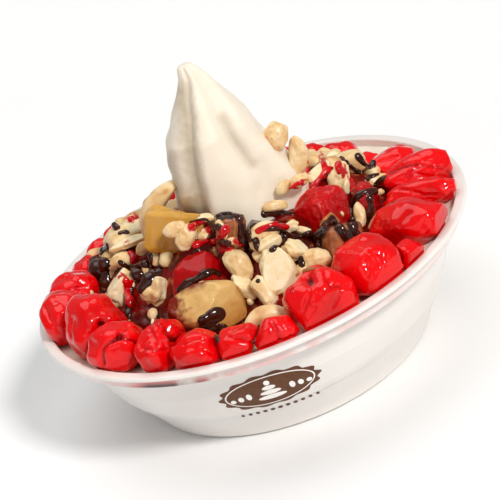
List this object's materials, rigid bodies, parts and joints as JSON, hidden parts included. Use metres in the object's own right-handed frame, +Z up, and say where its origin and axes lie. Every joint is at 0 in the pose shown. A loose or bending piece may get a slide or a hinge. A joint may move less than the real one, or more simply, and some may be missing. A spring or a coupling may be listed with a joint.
{
  "type": "ice cream sundae",
  "caption": "Soft serve swirl in a shallow translucent plastic bowl, ringed with glazed cherries and topped with fruit, chopped nuts, brownie, chocolate sauce and red syrup.",
  "frame": {"origin": "centre of the bowl's foot on the surface it stands on", "axes": "+Z up along the bowl's axis; -Y is the front, the side that the toppings face"},
  "size_m": [0.156, 0.156, 0.1146],
  "materials": {
    "translucent_plastic": "translucent moulded plastic, satin",
    "soft_serve_cream": "soft ice cream, smooth",
    "nuts_in_sauce": "chopped nuts in chocolate sauce and syrup",
    "pineapple_flesh": "wet preserved fruit",
    "red_jelly": "wet jelly",
    "syrup_fruit": "wet preserved fruit",
    "strawberry_flesh": "wet fruit in syrup",
    "brownie_crumb": "brownie under chocolate sauce",
    "chocolate_sauce": "glossy chocolate",
    "roasted_nut": "roasted nut",
    "glazed_cherry": "glazed cherry in red syrup"
  },
  "bodies": {
    "root": {"bowl": "translucent_plastic", "soft_serve": "soft_serve_cream", "topping_heap": "nuts_in_sauce", "pineapple_chunk": "pineapple_flesh", "jelly_chunk": "red_jelly", "pear_chunk": "syrup_fruit", "strawberry_chunk": "strawberry_flesh", "strawberry_back": "strawberry_flesh", "brownie_right": "brownie_crumb", "brownie_left": "brownie_crumb", "chocolate_wedge": "chocolate_sauce", "cashew_left": "roasted_nut", "cashew_swirl": "roasted_nut", "peanut_swirl": "roasted_nut", "cherry_01": "glazed_cherry", "cherry_02": "glazed_cherry", "cherry_03": "glazed_cherry", "cherry_04": "glazed_cherry", "cherry_05": "glazed_cherry", "cherry_06": "glazed_cherry", "cherry_07": "glazed_cherry", "cherry_08": "glazed_cherry", "cherry_09": "glazed_cherry", "cherry_10": "glazed_cherry", "cherry_11": "glazed_cherry", "cherry_12": "glazed_cherry", "cherry_13": "glazed_cherry", "cherry_14": "glazed_cherry", "cherry_15": "glazed_cherry", "cherry_16": "glazed_cherry", "cherry_17": "glazed_cherry", "cherry_18": "glazed_cherry", "cherry_19": "glazed_cherry", "cherry_20": "glazed_cherry", "cherry_21": "glazed_cherry", "cherry_22": "glazed_cherry", "cherry_23": "glazed_cherry", "cherry_24": "glazed_cherry"}
  },
  "joints": []
}
